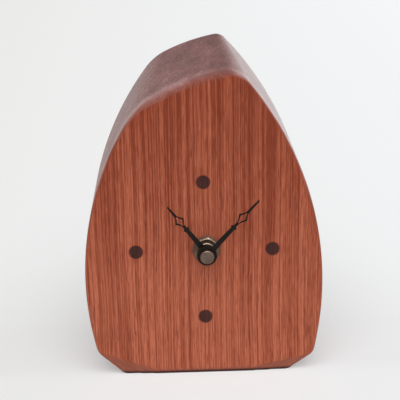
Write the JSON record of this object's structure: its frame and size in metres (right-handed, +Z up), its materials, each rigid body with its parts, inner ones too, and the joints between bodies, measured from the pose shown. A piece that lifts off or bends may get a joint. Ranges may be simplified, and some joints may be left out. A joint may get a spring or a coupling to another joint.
{
  "type": "desk clock",
  "caption": "Free-standing wooden desk clock with a curved block body, dowel hour marks, openwork hands and a battery quartz movement in a bored recess.",
  "frame": {"origin": "the middle of the flat base, on the dial's centre line and half way along the block's depth", "axes": "+Z up, -Y the way the dial faces, +X to the right when looking at the dial"},
  "size_m": [0.1125, 0.0783, 0.1546],
  "materials": {
    "block_wood": "hand-sanded open-grained hardwood, oiled",
    "mark_wood": "dark dowel, sanded flush",
    "washer_steel": "dull",
    "brass": "turned",
    "hand_black": "satin black",
    "cap_bronze": "dull bronze, brushed",
    "gasket_rubber": "matt",
    "case_plastic": "fine moulded texture",
    "gear_plastic": "natural acetal",
    "arbor_brass": "turned",
    "knob_plastic": "moulded",
    "plate_plastic": "moulded",
    "magnet": "sintered",
    "lamination": "rolled",
    "bobbin_plastic": "moulded",
    "copper_wire": "enamelled copper",
    "board": "solder mask",
    "chip_black": "epoxy",
    "crystal_can": "plated",
    "contact_metal": "nickel plated",
    "battery_steel": "plated",
    "battery_wrap": "shrink sleeve, plain"
  },
  "bodies": {
    "clock": {"block": "block_wood", "marker_12": "mark_wood", "marker_3": "mark_wood", "marker_6": "mark_wood", "marker_9": "mark_wood", "dial_washer": "washer_steel", "hex_nut": "brass", "threaded_bushing": "brass", "gasket": "gasket_rubber", "front_case": "case_plastic", "rear_case": "case_plastic", "train_plate": "plate_plastic", "stator": "lamination", "coil_core": "lamination", "coil_bobbin": "bobbin_plastic", "coil_winding": "copper_wire", "circuit_board": "board", "chip": "chip_black", "quartz_crystal": "crystal_can", "positive_contact": "contact_metal", "negative_contact": "contact_metal"},
    "minute": {"minute_hand": "hand_black", "cap_nut": "cap_bronze", "minute_arbor": "arbor_brass"},
    "hour": {"hour_hand": "hand_black", "hour_wheel": "gear_plastic"},
    "reverse": {"reverse_wheel": "gear_plastic"},
    "setting": {"setting_stem": "gear_plastic", "setting_knob": "knob_plastic"},
    "second": {"second_wheel": "gear_plastic"},
    "fifth": {"fifth_wheel": "gear_plastic"},
    "rotor": {"rotor_arbor": "gear_plastic", "rotor_magnet": "magnet"},
    "third": {"third_wheel": "gear_plastic"},
    "centre": {"centre_wheel": "gear_plastic"},
    "battery": {"battery_cell": "battery_steel", "battery_sleeve": "battery_wrap"}
  },
  "joints": [
    {"name": "minute_turn", "type": "hinge", "parent": "clock", "child": "minute", "pos_m": [0.001, -0.038, 0.0635], "axis": [0, 1, 0], "continuous": true},
    {"name": "hour_turn", "type": "hinge", "parent": "clock", "child": "hour", "pos_m": [0.001, -0.038, 0.0635], "axis": [0, 1, 0], "continuous": true},
    {"name": "reverse_turn", "type": "hinge", "parent": "clock", "child": "reverse", "pos_m": [0.0106, -0.0232, 0.0635], "axis": [0, 1, 0], "continuous": true},
    {"name": "setting_turn", "type": "hinge", "parent": "clock", "child": "setting", "pos_m": [0.02103, -0.0162, 0.0663], "axis": [0, 1, 0], "continuous": true},
    {"name": "second_turn", "type": "hinge", "parent": "clock", "child": "second", "pos_m": [0.001, -0.0162, 0.0635], "axis": [0, 1, 0], "continuous": true},
    {"name": "fifth_turn", "type": "hinge", "parent": "clock", "child": "fifth", "pos_m": [0.00625, -0.0162, 0.07259], "axis": [0, 1, 0], "continuous": true},
    {"name": "rotor_turn", "type": "hinge", "parent": "clock", "child": "rotor", "pos_m": [0.00985, -0.0172, 0.07883], "axis": [0, 1, 0], "continuous": true},
    {"name": "third_turn", "type": "hinge", "parent": "clock", "child": "third", "pos_m": [-0.00904, -0.0182, 0.06527], "axis": [0, 1, 0], "continuous": true},
    {"name": "centre_turn", "type": "hinge", "parent": "clock", "child": "centre", "pos_m": [0.001, -0.0192, 0.0635], "axis": [0, 1, 0], "continuous": true},
    {"name": "battery_out", "type": "slide", "parent": "clock", "child": "battery", "axis": [0, 1, 0], "range_m": [0, 0.06]}
  ],
  "couplings": [
    {"joint": "hour_turn", "follows": "minute_turn", "ratio": 0.083333},
    {"joint": "reverse_turn", "follows": "minute_turn", "ratio": -0.33333},
    {"joint": "setting_turn", "follows": "minute_turn", "ratio": 0.66667},
    {"joint": "second_turn", "follows": "fifth_turn", "ratio": -0.16667},
    {"joint": "rotor_turn", "follows": "fifth_turn", "ratio": -5},
    {"joint": "third_turn", "follows": "fifth_turn", "ratio": 0.020833},
    {"joint": "centre_turn", "follows": "fifth_turn", "ratio": -0.0027778}
  ]
}
